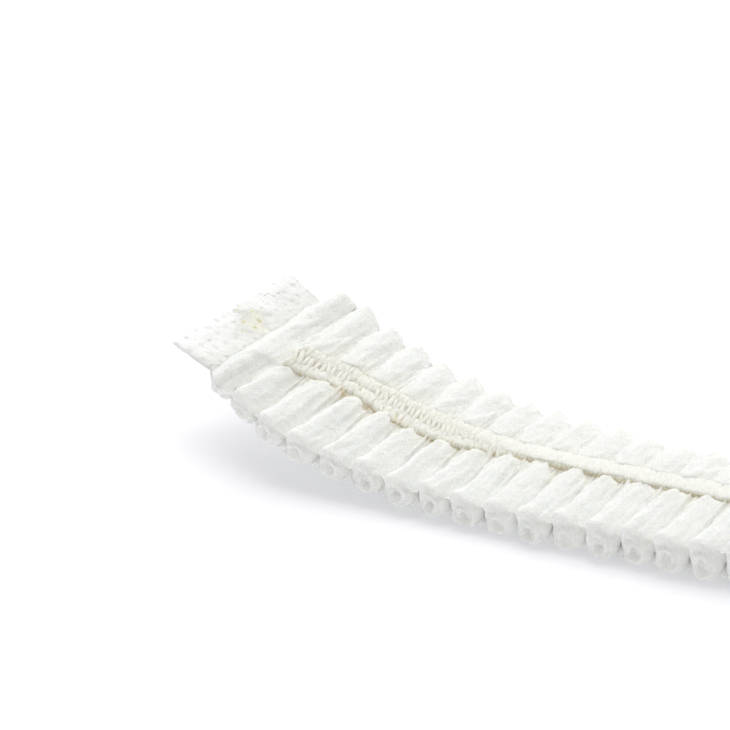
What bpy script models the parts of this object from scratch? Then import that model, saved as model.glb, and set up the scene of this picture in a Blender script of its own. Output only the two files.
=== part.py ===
"""Strip-packed disposable hair cover cap, lying on a surface.

One sheet of thin nonwoven is folded lengthwise into a narrow stack of plies and welded
across at both ends. The elastic in its two long edges draws the stack into cross-wise
puffs. +X runs along the straight part of the strip, +Y towards its far side, +Z up.
All sizes are in metres.
"""
import math

import bpy
import bmesh
from mathutils import Vector

# The gathered strip
PITCH = 0.0045              # length of strip that one puff takes
PUFFS = 58
PUFF_WIDTH = 0.0242         # across a full puff, away from the welds
SPREAD_WIDTH = 0.0324       # across the first puffs, which fan out beside a weld
NEAR_HEIGHT = 0.0058        # near shoulder of a full puff above its base
FAR_HEIGHT = 0.0044         # far shoulder of a full puff
SPREAD_HEIGHT = 0.0034      # either shoulder of the first puff beside a weld
CREST_HEIGHT = 0.0061       # middle of a full puff
SPREAD_CREST = 0.0040       # middle of the first puff
OPENING_SHARE = 0.5         # share of the first puff over which the pressed plies open out
RELAX_LENGTH = 0.0950       # distance from a weld over which the puffs reach full size

# Depth of the valleys between puffs
VALLEY_TOP = 0.0014
VALLEY_SIDE = 0.0015
VALLEY_UNDER = 0.0009
FLAT_SHARE = 0.2            # share of a valley's depth that lies flat under the strip
LOBE_HOLLOW = 0.0009        # dent in the rolled end of each puff
BACK_SHARE = 0.55           # place of the puff's highest line, as a share of its half width

# The seat of the hems along the top of the strip
BED_WIDTH = 0.0076
BED_DEPTH = 0.0019          # below the crest of the puffs
LIP_WIDTH = 0.0006          # slope between the seat and the puffs' backs
LIP_SHARE = 0.5             # depth of the valleys at the lip, as a share of VALLEY_TOP

# The hems, each a folded edge with its elastic inside
NEAR_HEM_WIDTH = 0.0027
FAR_HEM_WIDTH = 0.0031
HEM_THICKNESS = 0.0007
HEM_MIDDLE = 0.00084        # thickness over the elastic
HEM_SPACING = 0.0042        # between the hems' centre lines beside a weld
HEM_LAP = 0.0010            # by which the far hem covers the near one further along
LAP_START = 0.0180          # distance from a weld where the far hem begins to climb
LAP_LENGTH = 0.0220         # length over which it climbs and crosses

# The weld tabs and the elastic that shows in them
TAB_LENGTH = 0.0050
TAB_WIDTH = 0.0228
TAB_THICKNESS = 0.0010
TAB_HEIGHT = 0.0017         # middle of the tab above the strip's base
STUB_WIDTH = 0.0052
STUB_LENGTH = 0.0036
STUB_THICKNESS = 0.0004

GAP = 0.0003                # clearance between neighbouring pieces

# The way the strip lies
BEND_ANGLE = math.radians(14.0)        # turn of the left end, seen from above
BEND_LENGTH = 0.0770                   # the turn eases out over this length
END_LIFT = 0.0090                      # left end of the puffs above the surface
LIFT_LENGTH = 0.0408                   # length of strip that is off the surface
FOLD_SLANT = math.radians(9.0)         # lean of the folds away from the welds
STEP = PITCH / 4                       # spacing of the centre line's points

STRIP_LENGTH = PITCH * PUFFS

# Phase along one puff, and how full the puff is there: 0 in the valley, 1 on the crest
PUFF_STATIONS = ((0.0, 0.0), (0.25, 0.86), (0.5, 1.0), (0.75, 0.86))

# Waves of unevenness in the puffs' relief: share of the relief, and radians per puff
UNEVENNESS = ({"share": 0.07, "rate": 2.4}, {"share": 0.05, "rate": 5.3})

# Half of the puff's outline, from under the strip out and up to the seat of the hems.
# across and height are shares of the half width and the shoulder height, side, top and
# under are shares of the valley depths, and hollow is a share of the dent.
OUTLINE = (
    {"across": 0.50, "height": 0.00, "side": 0.0, "top": 0.0, "under": 0.8, "hollow": 0.0},
    {"across": 0.95, "height": 0.00, "side": 0.7, "top": 0.0, "under": 1.0, "hollow": 0.0},
    {"across": 1.00, "height": 0.30, "side": 1.0, "top": 0.0, "under": 0.0, "hollow": 1.0},
    {"across": 0.99, "height": 0.76, "side": 1.0, "top": 0.3, "under": 0.0, "hollow": 0.6},
    {"across": 0.92, "height": 1.00, "side": 0.8, "top": 0.9, "under": 0.0, "hollow": 0.0},
)


def smooth_step(value):
    """Ease from 0 to 1 as value goes from 0 to 1."""
    value = min(max(value, 0.0), 1.0)
    return value * value * (3.0 - 2.0 * value)


def blend(low, high, share):
    return low + (high - low) * share


def centre_line():
    """Points, headings and slopes along the strip, from past one tab to past the other.

    turn is the change of heading for each metre.
    """
    reach = TAB_LENGTH + 2 * PITCH
    count = int(round((STRIP_LENGTH + 2 * reach) / STEP))
    rows = []
    for index in range(count + 1):
        along = -reach + index * STEP
        bent = min(max(1.0 - along / BEND_LENGTH, 0.0), 1.0)
        rows.append({"along": along, "turn": 2 * BEND_ANGLE / BEND_LENGTH * bent})
    heading = 0.0
    rows[-1]["heading"] = heading
    for row, after in zip(reversed(rows[:-1]), reversed(rows[1:])):
        heading -= (row["turn"] + after["turn"]) / 2 * STEP
        row["heading"] = heading
    point = Vector((0.0, 0.0, 0.0))
    rows[0]["point"] = point
    for row, after in zip(rows[:-1], rows[1:]):
        middle = (row["heading"] + after["heading"]) / 2
        point = point + Vector((math.cos(middle), math.sin(middle), 0.0)) * STEP
        after["point"] = point
    for row in rows:
        free = max(0.0, 1.0 - row["along"] / LIFT_LENGTH)
        row["point"].z = END_LIFT * free * free
        row["slope"] = -2 * END_LIFT / LIFT_LENGTH * free
    return rows


LINE = centre_line()


def seat(along, across, height):
    """World position of a point given along, across and above the strip."""
    place = (along - LINE[0]["along"]) / STEP
    index = min(max(int(place), 0), len(LINE) - 2)
    share = place - index
    row, after = LINE[index], LINE[index + 1]
    heading = blend(row["heading"], after["heading"], share)
    slope = blend(row["slope"], after["slope"], share)
    forward = Vector((math.cos(heading), math.sin(heading), slope)).normalized()
    sideways = Vector((-math.sin(heading), math.cos(heading), 0.0))
    upright = forward.cross(sideways)
    lean = forward * (across * math.tan(FOLD_SLANT * fullness(along)))
    return row["point"].lerp(after["point"], share) + sideways * across + lean + upright * height


def from_weld(along):
    """Distance to the nearer end of the puffs."""
    return min(along, STRIP_LENGTH - along)


def fullness(along):
    """0 beside a weld, 1 where the puffs have their full size."""
    return smooth_step(from_weld(along) / RELAX_LENGTH)


def half_width(along):
    """The puffs narrow quickly beside a weld and slowly further on."""
    spread = max(0.0, 1.0 - from_weld(along) / RELAX_LENGTH)
    return blend(PUFF_WIDTH, SPREAD_WIDTH, spread * spread) / 2


def shoulder(along, side):
    return blend(SPREAD_HEIGHT, NEAR_HEIGHT if side < 0 else FAR_HEIGHT, fullness(along))


def crest(along):
    return blend(SPREAD_CREST, CREST_HEIGHT, fullness(along))


def bed(along):
    return crest(along) - BED_DEPTH


def puff_size(index):
    """Uneven gathering: each puff's relief as a share of the full relief."""
    return 1.0 + sum(row["share"] * math.sin(row["rate"] * index) for row in UNEVENNESS)


def half_ring(along, side, full, size):
    """Half an outline of the crown, on the side -1 (near) or +1 (far)."""
    width, rise = half_width(along), shoulder(along, side)
    hollow = LOBE_HOLLOW if full == 1.0 else 0.0
    points = []
    for row in OUTLINE:
        across = row["across"] * width - row["side"] * VALLEY_SIDE * (1 - full) * size
        height = row["height"] * rise - row["top"] * VALLEY_TOP * (1 - full) * size
        height += row["under"] * VALLEY_UNDER * max(0.0, 1 - full / (1 - FLAT_SHARE))
        points.append((side * (across - row["hollow"] * hollow), height))
    valley = VALLEY_TOP * (1 - full) * size
    points.append((side * BACK_SHARE * width, crest(along) - valley))
    points.append((side * (BED_WIDTH / 2 + LIP_WIDTH), crest(along) - LIP_SHARE * valley))
    points.append((side * BED_WIDTH / 2, bed(along)))
    return points


def crown_ring(along, full, size):
    """Closed outline of the crown, squeezed to the tab's thickness at a weld."""
    near, far = half_ring(along, -1, full, size), half_ring(along, 1, full, size)
    opened = smooth_step(from_weld(along) / (OPENING_SHARE * PITCH))
    open_share = blend(TAB_THICKNESS / SPREAD_HEIGHT, 1.0, opened)
    narrow = blend(TAB_WIDTH / SPREAD_WIDTH, 1.0, opened)
    ring = near + far[::-1]
    return [(across * narrow, blend(TAB_HEIGHT, height, open_share)) for across, height in ring]


def new_material(name, colour, roughness):
    material = bpy.data.materials.new(name)
    material.use_nodes = True
    shader = material.node_tree.nodes["Principled BSDF"]
    shader.inputs["Base Color"].default_value = (*colour, 1.0)
    shader.inputs["Roughness"].default_value = roughness
    shader.inputs["Metallic"].default_value = 0.0
    return material


def loft(name, rings, material, smooth):
    """Join a row of equal rings, closed at both ends, into one object."""
    mesh = bpy.data.meshes.new(name)
    shape = bmesh.new()
    loops = [[shape.verts.new(point) for point in ring] for ring in rings]
    for loop, after in zip(loops[:-1], loops[1:]):
        for index in range(len(loop)):
            following = (index + 1) % len(loop)
            shape.faces.new((loop[index], loop[following], after[following], after[index]))
    for end in (loops[0], loops[-1]):
        half = len(end) // 2
        for index in range(half - 1):
            low, high = index, len(end) - 1 - index
            shape.faces.new((end[low], end[low + 1], end[high - 1], end[high]))
    bmesh.ops.triangulate(shape, faces=shape.faces[:])
    bmesh.ops.recalc_face_normals(shape, faces=shape.faces[:])
    shape.to_mesh(mesh)
    shape.free()
    mesh.materials.append(material)
    if smooth:
        mesh.shade_smooth()
    part = bpy.data.objects.new(name, mesh)
    bpy.context.scene.collection.objects.link(part)
    return part


def gathered_crown(material):
    rings = []
    for index in range(PUFFS):
        for phase, full in PUFF_STATIONS:
            along = (index + phase) * PITCH
            ring = crown_ring(along, full, puff_size(index))
            rings.append([seat(along, across, height) for across, height in ring])
    last = crown_ring(STRIP_LENGTH, 0.0, puff_size(PUFFS))
    rings.append([seat(STRIP_LENGTH, across, height) for across, height in last])
    return loft("gathered_crown", rings, material, True)


def hem_rings(width, middle, lift):
    """Rings of a flat folded edge; middle and lift give its place at a distance along."""
    rings = []
    for index in range(PUFFS):
        along = (index + 0.5) * PITCH
        centre = middle(along)
        near_lift, far_lift = lift(along)
        base = bed(along) + GAP
        near, far = centre - width / 2, centre + width / 2
        outline = (
            (near, base + near_lift),
            (near, base + near_lift + HEM_THICKNESS),
            (centre, base + (near_lift + far_lift) / 2 + HEM_MIDDLE),
            (far, base + far_lift + HEM_THICKNESS),
            (far, base + far_lift),
            (centre, base + (near_lift + far_lift) / 2),
        )
        rings.append([seat(along, across, height) for across, height in outline])
    return rings


def climb(along):
    """Share of the far hem's climb onto the near hem."""
    return smooth_step(2.0 * (from_weld(along) - LAP_START) / LAP_LENGTH)


def cross(along):
    """Share of the far hem's move over the near hem, which follows the climb."""
    return smooth_step(2.0 * (from_weld(along) - LAP_START) / LAP_LENGTH - 1.0)


def near_hem(material):
    def middle(along):
        lapped = -(NEAR_HEM_WIDTH + FAR_HEM_WIDTH) / 4 + HEM_LAP / 2
        return blend(-HEM_SPACING / 2, lapped, cross(along))

    return loft("near_hem", hem_rings(NEAR_HEM_WIDTH, middle, lambda along: (0.0, 0.0)), material, True)


def far_hem(material):
    def middle(along):
        lapped = (NEAR_HEM_WIDTH + FAR_HEM_WIDTH) / 4 - HEM_LAP / 2
        return blend(HEM_SPACING / 2, lapped, cross(along))

    def lift(along):
        return ((HEM_MIDDLE + 2 * GAP) * climb(along), 0.0)

    return loft("far_hem", hem_rings(FAR_HEM_WIDTH, middle, lift), material, True)


def slab_rings(start, length, width, base, thickness):
    """Rings of a thin plate that follows the strip from start, over length."""
    rings = []
    for share in (0.0, 0.5, 1.0):
        along = start + share * length
        lower = [(width * place, base) for place in (-0.5, -0.25, 0.0, 0.25, 0.5)]
        upper = [(across, base + thickness) for across, height in reversed(lower)]
        rings.append([seat(along, across, height) for across, height in lower + upper])
    return rings


def weld_tab(name, inner, direction, material):
    """Pressed plies from the end of the puffs outwards; direction is -1 left, +1 right."""
    start = inner + GAP if direction > 0 else inner - GAP - TAB_LENGTH
    base = TAB_HEIGHT - TAB_THICKNESS / 2
    return loft(name, slab_rings(start, TAB_LENGTH, TAB_WIDTH, base, TAB_THICKNESS), material, False)


def elastic_end(name, inner, direction, material):
    """Flattened end of the elastic, on the inner part of a tab."""
    start = inner + GAP if direction > 0 else inner - GAP - STUB_LENGTH
    base = TAB_HEIGHT + TAB_THICKNESS / 2 + GAP
    return loft(name, slab_rings(start, STUB_LENGTH, STUB_WIDTH, base, STUB_THICKNESS), material, False)


def stand_at_origin(parts):
    """Move everything so that the middle of the base is the origin."""
    corners = [vertex.co for part in parts for vertex in part.data.vertices]
    low = Vector([min(corner[axis] for corner in corners) for axis in range(3)])
    high = Vector([max(corner[axis] for corner in corners) for axis in range(3)])
    shift = Vector((-(low.x + high.x) / 2, -(low.y + high.y) / 2, -low.z))
    for part in parts:
        for vertex in part.data.vertices:
            vertex.co += shift


def build():
    for thing in list(bpy.data.objects):
        bpy.data.objects.remove(thing, do_unlink=True)
    nonwoven = new_material("white nonwoven", (0.93, 0.94, 0.91), 0.85)
    casing = new_material("cream elastic casing", (0.90, 0.88, 0.80), 0.85)
    pressed = new_material("pressed nonwoven", (0.94, 0.95, 0.93), 0.55)
    rubber = new_material("amber elastic", (0.72, 0.64, 0.38), 0.5)
    parts = [
        gathered_crown(nonwoven),
        near_hem(casing),
        far_hem(casing.copy()),
        weld_tab("weld_tab_left", 0.0, -1, pressed),
        weld_tab("weld_tab_right", STRIP_LENGTH, 1, pressed.copy()),
        elastic_end("elastic_end_left", 0.0, -1, rubber),
        elastic_end("elastic_end_right", STRIP_LENGTH, 1, rubber.copy()),
    ]
    stand_at_origin(parts)


build()
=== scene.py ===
"""Looks of a strip-packed disposable hair cover cap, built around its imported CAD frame.

Every soft piece is first shaped straight, as on the machine that gathers and welds it:
x runs along the strip, y across it and z up. lay_down() then bends it onto the strip's line.
"""
import math

import bmesh
import bpy
import numpy as np
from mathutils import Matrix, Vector


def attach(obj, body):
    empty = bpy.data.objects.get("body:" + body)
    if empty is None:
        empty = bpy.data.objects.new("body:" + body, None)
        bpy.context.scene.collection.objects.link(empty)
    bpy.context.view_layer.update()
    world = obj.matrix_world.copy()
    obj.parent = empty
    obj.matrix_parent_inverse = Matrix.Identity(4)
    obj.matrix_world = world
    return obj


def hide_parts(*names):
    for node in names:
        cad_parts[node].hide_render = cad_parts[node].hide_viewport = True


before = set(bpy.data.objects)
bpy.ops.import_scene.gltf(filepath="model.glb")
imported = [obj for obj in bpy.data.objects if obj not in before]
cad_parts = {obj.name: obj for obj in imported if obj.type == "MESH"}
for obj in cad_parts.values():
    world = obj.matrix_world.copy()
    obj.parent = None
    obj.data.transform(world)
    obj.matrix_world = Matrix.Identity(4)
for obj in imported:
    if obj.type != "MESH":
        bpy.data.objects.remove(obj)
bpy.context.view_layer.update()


# The table and the photographer's light.
# A seamless white sweep under a large softbox that hangs behind and to the left, with a
# bright room around it, so that the near ends of the puffs stand in their own shade.

ELEVATION = math.radians(30.0)          # camera above the table
AZIMUTH = math.radians(23.5)            # camera's right, turned from +X
DISTANCE = 0.586                        # from the camera to the point that it looks at
LENS = 218.6                            # millimetres on a 36 mm sensor
LOOKED_AT = Vector((-0.1203, 0.0179, 0.0))
TABLE_SIZE = 6.0
TABLE_DROP = 0.00005                    # clearance under the cap
TABLE_GLOW = 0.22                       # keeps the sweep near white
SOFTBOX = {"place": (-0.28, 0.72, 1.22), "side": 1.6, "power": 17.2, "colour": (1.0, 1.0, 0.99)}
ROOM_COLOUR, ROOM_LIGHT = (1.0, 0.995, 0.99, 1.0), 0.57


class Wire:
    """A node's output that stands in Python sums; node() adds any other node to its tree."""

    def __init__(self, tree, socket=None):
        self.tree = tree
        self.socket = socket

    def node(self, kind, settings=None, values=None, output=0):
        made = self.tree.nodes.new(kind)
        for name, value in (settings or {}).items():
            if name == "stops":
                self.set_stops(made.color_ramp, value)
            else:
                setattr(made, name, value)
        for name, value in (values or {}).items():
            self.feed(made.inputs[name], value)
        return Wire(self.tree, made.outputs[output] if made.outputs else None)

    def set_stops(self, ramp, stops):
        while len(ramp.elements) < len(stops):
            ramp.elements.new(0.5)
        for element, (place, colour) in zip(ramp.elements, stops):
            element.position = place
            element.color = colour

    def feed(self, socket, value):
        if isinstance(value, Wire):
            self.tree.links.new(value.socket, socket)
        else:
            socket.default_value = value

    def other(self, name):
        """Another output of the same node."""
        return Wire(self.tree, self.socket.node.outputs[name])

    def maths(self, operation, first, second=0.0):
        return self.node("ShaderNodeMath", {"operation": operation}, {0: first, 1: second})

    def __add__(self, value):
        return self.maths("ADD", self, value)

    __radd__ = __add__

    def __sub__(self, value):
        return self.maths("SUBTRACT", self, value)

    def __rsub__(self, value):
        return self.maths("SUBTRACT", value, self)

    def __mul__(self, value):
        return self.maths("MULTIPLY", self, value)

    def __pow__(self, value):
        return self.maths("POWER", self, value)

    def __abs__(self):
        return self.maths("ABSOLUTE", self)

    def at_most(self, value):
        return self.maths("MINIMUM", self, value)

    def at_least(self, value):
        return self.maths("MAXIMUM", self, value)

    def colours(self, low, high):
        """From colour low at 0 to colour high at 1."""
        return self.node("ShaderNodeMix", {"data_type": "RGBA"}, {0: self, 6: low, 7: high}, output=2)


def new_finish(name, settings):
    """A material with its shader's constants set; returns it, its shader and a Wire."""
    material = bpy.data.materials.new(name)
    material.use_nodes = True
    shader = material.node_tree.nodes["Principled BSDF"]
    for socket, value in settings.items():
        shader.inputs[socket].default_value = value
    return material, shader, Wire(material.node_tree)


def tabletop():
    mesh = bpy.data.meshes.new("table")
    half = TABLE_SIZE / 2
    corners = [(-half, -half), (half, -half), (half, half), (-half, half)]
    mesh.from_pydata([(x, y, -TABLE_DROP) for x, y in corners], [], [(0, 1, 2, 3)])
    table = bpy.data.objects.new("table", mesh)
    bpy.context.scene.collection.objects.link(table)
    material, shader, wire = new_finish("white sweep", {
        "Roughness": 0.9,
        "Specular IOR Level": 0.0,
        "Emission Color": (1.0, 1.0, 1.0, 1.0),
        "Emission Strength": TABLE_GLOW,
    })
    speckle = wire.node("ShaderNodeTexNoise", None, {"Scale": 40.0})
    wire.feed(shader.inputs["Base Color"], speckle.colours((0.80, 0.80, 0.83, 1), (0.82, 0.82, 0.85, 1)))
    mesh.materials.append(material)


def softbox():
    lamp = bpy.data.lights.new("softbox above", "AREA")
    lamp.shape = "RECTANGLE"
    lamp.size = lamp.size_y = SOFTBOX["side"]
    lamp.energy = SOFTBOX["power"]
    lamp.color = SOFTBOX["colour"]
    holder = bpy.data.objects.new("softbox above", lamp)
    holder.location = SOFTBOX["place"]
    holder.rotation_euler = (LOOKED_AT - holder.location).to_track_quat("-Z", "Y").to_euler()
    bpy.context.scene.collection.objects.link(holder)


def camera():
    away = Vector((-math.sin(AZIMUTH), math.cos(AZIMUTH), 0.0))
    view = away * math.cos(ELEVATION) - Vector((0.0, 0.0, math.sin(ELEVATION)))
    lens = bpy.data.cameras.new("camera")
    lens.lens = LENS
    lens.clip_end = 20.0
    holder = bpy.data.objects.new("camera", lens)
    holder.location = LOOKED_AT - view * DISTANCE
    holder.rotation_euler = view.to_track_quat("-Z", "Y").to_euler()
    bpy.context.scene.collection.objects.link(holder)
    bpy.context.scene.camera = holder


def bright_room():
    room = bpy.data.worlds.new("bright room")
    room.use_nodes = True
    background = room.node_tree.nodes["Background"]
    background.inputs["Color"].default_value = ROOM_COLOUR
    background.inputs["Strength"].default_value = ROOM_LIGHT
    bpy.context.scene.world = room
    bpy.context.scene.view_settings.view_transform = "Standard"


tabletop()
camera()
softbox()
bright_room()


# The gathered crown.
# One sheet of thin white spunbond nonwoven, folded lengthwise into a stack of plies. The
# elastic hems along its top draw it up, so that the stack puffs out between sharp valleys
# and shows the rolled ends of its plies along both sides.

PITCH = 0.0045                          # length of strip that one puff takes
PUFFS = 58
LENGTH = PITCH * PUFFS
PUFF_WIDTH, SPREAD_WIDTH = 0.0242, 0.0324   # across a full puff, and across the first ones
SPREAD_HEIGHT = 0.0034                  # shoulder of the first puffs
CREST_HEIGHT, SPREAD_CREST = 0.0061, 0.0040
RELAX_LENGTH = 0.0950                   # from a weld to where the puffs reach full size
BED_DEPTH = 0.0010                      # hems' seat below the crest
COVER_SHARE = 0.9                       # of the first puff, which closes over the hems
HEM_EDGE = 0.0026                       # puffs' inner ends from the middle, beside a weld
LAP_START, LAP_LENGTH = 0.0250, 0.0170  # where one hem climbs over the other
PULL = {"offset": -0.0026, "start": 0.0030, "length": 0.0095}
COUNTER_PULL = {"offset": 0.0006, "place": 0.0175, "reach": 0.0060}
FAN_START = 0.78                        # half width at the weld, as a share of the full spread
TAB_WIDTH, TAB_THICKNESS, TAB_HEIGHT = 0.0228, 0.0010, 0.0017
OPENING_SHARE = 0.5                     # of the first puff, over which the plies open out
SQUEEZE = 0.4                           # of the tab's thickness, so that it hides the crown's end
BEND_ANGLE, BEND_LENGTH = math.radians(14.0), 0.0770
END_LIFT, LIFT_LENGTH = 0.0090, 0.0408
FOLD_SLANT = math.radians(9.0)
STRIP_START = (-0.12905, 0.00376)       # where the puffs begin at the left weld
LINE_STEP = 0.0005
LINE_REACH = 0.012                      # line past either end of the puffs
SHEET = (0.53, 0.45)                    # the sheet, cut flat, between the welds and between hems

STATIONS = 26                           # rings along one puff
CROWDING = 0.55                         # draws the rings together at the valleys
CROWN_SEED = 7
ROLL_HOLLOW, ROLL_RING = 0.0011, 0.00028    # depths on the front, where the plies are rolled
BEAK, OVERHANG = 0.0007, 0.00035
HOOD_HOLLOW, HOOD_LIP, LOOSE_LIP, HOOD_FOLD = 0.0005, 0.00012, 0.00015, 0.00012
LONG_FOLDS = 5                          # down each half of a puff
TIP_LEAN = 0.17                         # of a tip towards the left end, as a share of PITCH

# What differs between the near ends of the puffs (-1) and the far ones (1). Lengths are in
# metres; leaning, hollow and edge_ochre_and_shade are shares, and fold_end is a reach. The
# edge's ochre is partly the elastic showing through and partly painted shade. bluff is the
# power of a puff's arch at BLUFF_REACH, lower being blunter, and valley its depth in metres
# at VALLEY_REACH.
BLUFF_REACH = (0.1, 0.5, 1.0, 1.6, 2.0)
VALLEY_REACH = (-0.5, -0.1, 0.15, 0.45, 0.8, 1.0, 1.3, 1.7, 2.0, 2.2, 2.5, 3.0)
SIDES = {
    -1: {
        "shoulder": 0.0058, "first_shoulder": 0.0020, "fan_length": 0.0135, "lapped_edge": 0.0008,
        "leaning": 1.0, "hollow": 1.0, "pinch": 0.0007, "fold": 0.00017, "loose_fold": 0.00006,
        "fold_end": 1.4, "edge_ochre_and_shade": 0.4, "bluff": (1.15, 0.85, 0.66, 0.43, 0.38),
        "valley": (0.0, 0.0, 0.0004, 0.0010, 0.0014, 0.0016, 0.0019, 0.0022, 0.0026, 0.0022, 0.0012, 0.0003),
    },
    1: {
        "shoulder": 0.0044, "first_shoulder": 0.0042, "fan_length": 0.0060, "lapped_edge": 0.0019,
        "leaning": 0.35, "hollow": 0.4, "pinch": 0.0004, "fold": 0.00014, "loose_fold": 0.00004,
        "fold_end": 1.0, "edge_ochre_and_shade": 0.0, "bluff": (1.15, 1.0, 0.95, 0.75, 0.6),
        "valley": (0.0, 0.0, 0.0003, 0.0007, 0.0011, 0.0016, 0.0018, 0.0018, 0.0020, 0.0020, 0.0012, 0.0003),
    },
}


def smooth_step(value):
    value = np.clip(value, 0.0, 1.0)
    return value * value * (3.0 - 2.0 * value)


def blend(low, high, share):
    return low + (high - low) * share


def bump(value, middle, width):
    """A rounded hump of height 1 at middle."""
    return np.exp(-((value - middle) / width) ** 2)


def line_of_strip():
    """Distance along, heading, place, lift and slope of the strip's line."""
    along = np.arange(-LINE_REACH, LENGTH + LINE_REACH, LINE_STEP)
    left = np.clip(1.0 - along / BEND_LENGTH, 0.0, None)
    heading = -BEND_ANGLE * np.clip(left, 0.0, 1.0) ** 2
    heading += 2 * BEND_ANGLE / BEND_LENGTH * np.clip(along, None, 0.0)
    middle = (heading[1:] + heading[:-1]) / 2
    place_x = np.concatenate([[0.0], np.cumsum(np.cos(middle))]) * LINE_STEP
    place_y = np.concatenate([[0.0], np.cumsum(np.sin(middle))]) * LINE_STEP
    place_x += STRIP_START[0] - np.interp(0.0, along, place_x)
    place_y += STRIP_START[1] - np.interp(0.0, along, place_y)
    free = np.clip(1.0 - along / LIFT_LENGTH, 0.0, None)
    return {"along": along, "heading": heading, "x": place_x, "y": place_y,
            "z": END_LIFT * free ** 2, "slope": -2 * END_LIFT / LIFT_LENGTH * free}


LINE = line_of_strip()


def from_weld(along):
    return np.minimum(along, LENGTH - along)


def fullness(along):
    return smooth_step(from_weld(along) / RELAX_LENGTH)


def seat(flat):
    """Places in space of points given along, across and above the straight strip."""
    along, across, height = flat[:, 0], flat[:, 1], flat[:, 2]
    at = {name: np.interp(along, LINE["along"], LINE[name]) for name in LINE}
    steep = 1.0 / np.sqrt(1.0 + at["slope"] ** 2)
    cosine, sine = np.cos(at["heading"]), np.sin(at["heading"])
    forward = np.stack([cosine * steep, sine * steep, at["slope"] * steep], axis=1)
    sideways = np.stack([-sine, cosine, 0 * sine], axis=1)
    upright = np.cross(forward, sideways)
    lean = across * np.tan(FOLD_SLANT * fullness(along))
    place = np.stack([at["x"], at["y"], at["z"]], axis=1)
    return place + sideways * across[:, None] + forward * lean[:, None] + upright * height[:, None]


def points_of(mesh):
    flat = np.empty(len(mesh.vertices) * 3)
    mesh.vertices.foreach_get("co", flat)
    return flat.reshape(-1, 3)


def lay_down(piece):
    """Bend a piece that is still straight onto the strip's line."""
    piece.data.vertices.foreach_set("co", seat(points_of(piece.data)).ravel())
    piece.data.update()
    return piece


def applied(piece):
    """The piece with its modifiers made plain mesh and taken off."""
    shaped = piece.evaluated_get(bpy.context.evaluated_depsgraph_get())
    mesh = bpy.data.meshes.new_from_object(shaped)
    mesh.name = piece.name
    piece.modifiers.clear()
    piece.data = mesh
    return piece


def half_width(along, side):
    """The first puffs fan out from the tab's width, and further on they draw in again."""
    spread = np.clip(1.0 - from_weld(along) / RELAX_LENGTH, 0.0, 1.0)
    fan = smooth_step(from_weld(along) / SIDES[side]["fan_length"])
    return blend(PUFF_WIDTH, SPREAD_WIDTH, spread ** 2) / 2 * blend(FAN_START, 1.0, fan)


def crest(along):
    return blend(SPREAD_CREST, CREST_HEIGHT, fullness(along))


def uncovered(along):
    """0 beside a weld, where the first puff closes over the hems, and 1 further on."""
    return smooth_step((from_weld(along) - COVER_SHARE * PITCH) / PITCH)


def bed(along):
    """Height of the hems' seat."""
    return crest(along) - BED_DEPTH * uncovered(along)


def wander(along):
    """How far the elastic pulls the hems off the strip's middle beside a weld."""
    near_weld = 1.0 - smooth_step((from_weld(along) - PULL["start"]) / PULL["length"])
    counter = bump(from_weld(along), COUNTER_PULL["place"], COUNTER_PULL["reach"])
    return PULL["offset"] * near_weld + COUNTER_PULL["offset"] * counter


def lapped(along):
    """How far one hem has moved over the other: 0 side by side, 1 lapped."""
    return smooth_step((from_weld(along) - LAP_START) / LAP_LENGTH)


# Half of the crown's outline, from under the hems out and round to the middle of the base.
# inner is a share of the hem's edge, past is metres beyond it, width a share of the half
# width; bed, crest and shoulder are shares of those heights; reach is -0.5 in the middle
# under the hems, 0 at the hem's edge, 1 at the tip, 2 at the base edge and 3 underneath.
OUTLINE = (
    {"inner": 0.0, "past": 0.0, "width": 0.0, "bed": 0.3, "crest": 0.7, "shoulder": 0.0, "reach": -0.5},
    {"inner": 0.7, "past": 0.0, "width": 0.0, "bed": 0.45, "crest": 0.55, "shoulder": 0.0, "reach": -0.2},
    {"inner": 1.0, "past": 0.0, "width": 0.0, "bed": 0.35, "crest": 0.65, "shoulder": 0.0, "reach": 0.0},
    {"inner": 1.0, "past": 0.0008, "width": 0.0, "bed": 0.0, "crest": 1.0, "shoulder": 0.0, "reach": 0.2},
    {"inner": 0.4, "past": 0.0, "width": 0.41, "bed": 0.0, "crest": 1.0, "shoulder": 0.0, "reach": 0.42},
    {"inner": 0.0, "past": 0.0, "width": 0.75, "bed": 0.0, "crest": 0.6, "shoulder": 0.42, "reach": 0.72},
    {"inner": 0.0, "past": 0.0, "width": 0.94, "bed": 0.0, "crest": 0.0, "shoulder": 0.98, "reach": 1.0},
    {"inner": 0.0, "past": 0.0, "width": 1.0, "bed": 0.0, "crest": 0.0, "shoulder": 0.72, "reach": 1.25},
    {"inner": 0.0, "past": 0.0, "width": 1.0, "bed": 0.0, "crest": 0.0, "shoulder": 0.34, "reach": 1.6},
    {"inner": 0.0, "past": 0.0, "width": 0.94, "bed": 0.0, "crest": 0.0, "shoulder": 0.03, "reach": 2.0},
    {"inner": 0.0, "past": 0.0, "width": 0.55, "bed": 0.0, "crest": 0.0, "shoulder": 0.0, "reach": 2.5},
    {"inner": 0.0, "past": 0.0, "width": 0.0, "bed": 0.0, "crest": 0.0, "shoulder": 0.0, "reach": 3.0},
)
RING_SAMPLES = (2, 2, 4, 6, 8, 8, 7, 7, 7, 4, 2)   # rings' points between one row and the next


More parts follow.
